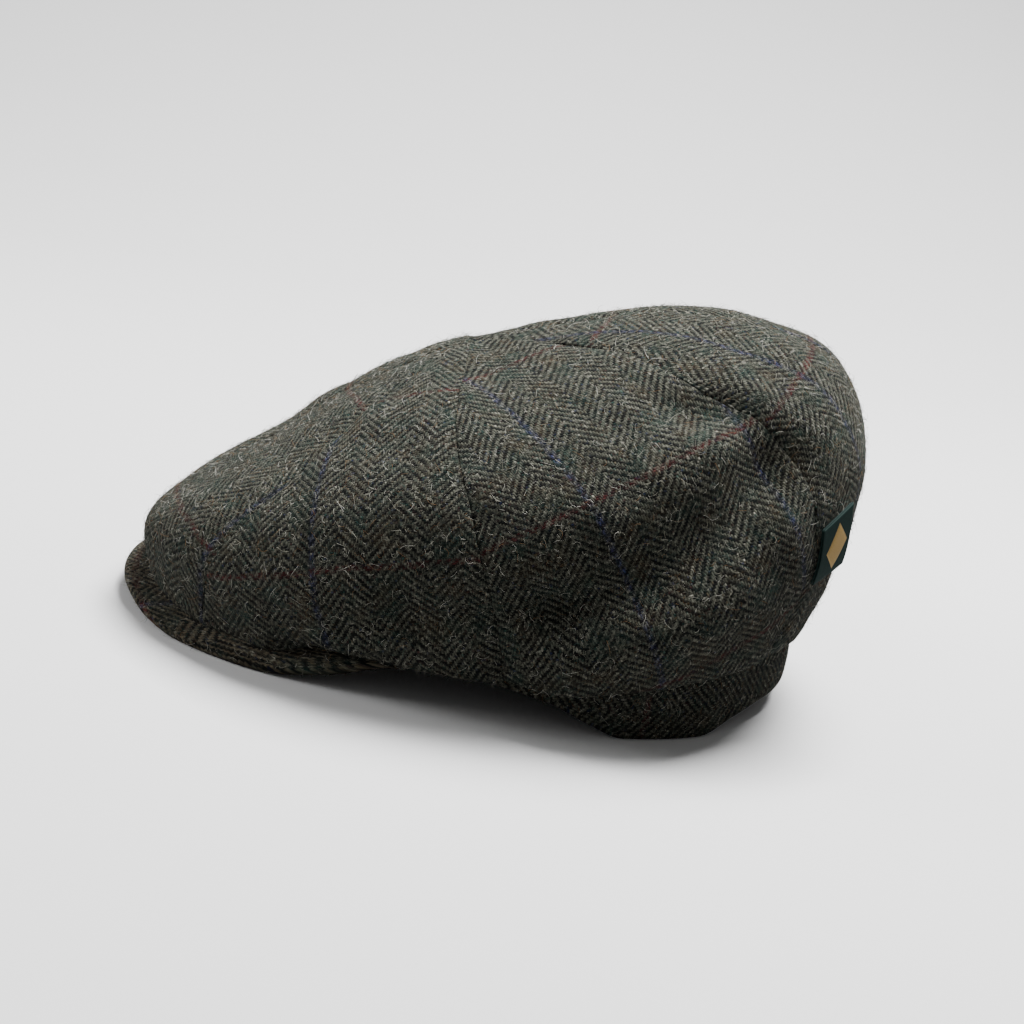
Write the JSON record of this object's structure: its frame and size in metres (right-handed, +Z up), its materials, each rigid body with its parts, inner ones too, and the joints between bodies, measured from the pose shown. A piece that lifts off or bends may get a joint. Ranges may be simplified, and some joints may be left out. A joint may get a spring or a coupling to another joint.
{
  "type": "flat cap",
  "caption": "Full-crowned flat cap of herringbone tweed gores with a deep band, a short stiff peak and a small ribbon label.",
  "frame": {"origin": "middle of the foot of the cap's box, on the surface that the cap rests on", "axes": "the peak points to -Y, the wearer's left is +X, up is +Z"},
  "size_m": [0.1924, 0.2688, 0.1407],
  "materials": {
    "crown_tweed": "brushed wool herringbone, matt",
    "band_tweed": "brushed wool herringbone, matt",
    "peak_tweed": "brushed wool herringbone, matt",
    "label_ribbon": "fine woven ribbon, satin"
  },
  "bodies": {
    "root": {"crown_panel_1": "crown_tweed", "crown_panel_2": "crown_tweed", "crown_panel_3": "crown_tweed", "crown_panel_4": "crown_tweed", "crown_panel_5": "crown_tweed", "crown_panel_6": "crown_tweed", "crown_panel_7": "crown_tweed", "crown_panel_8": "crown_tweed", "band": "band_tweed", "peak": "peak_tweed", "label": "label_ribbon"}
  },
  "joints": []
}
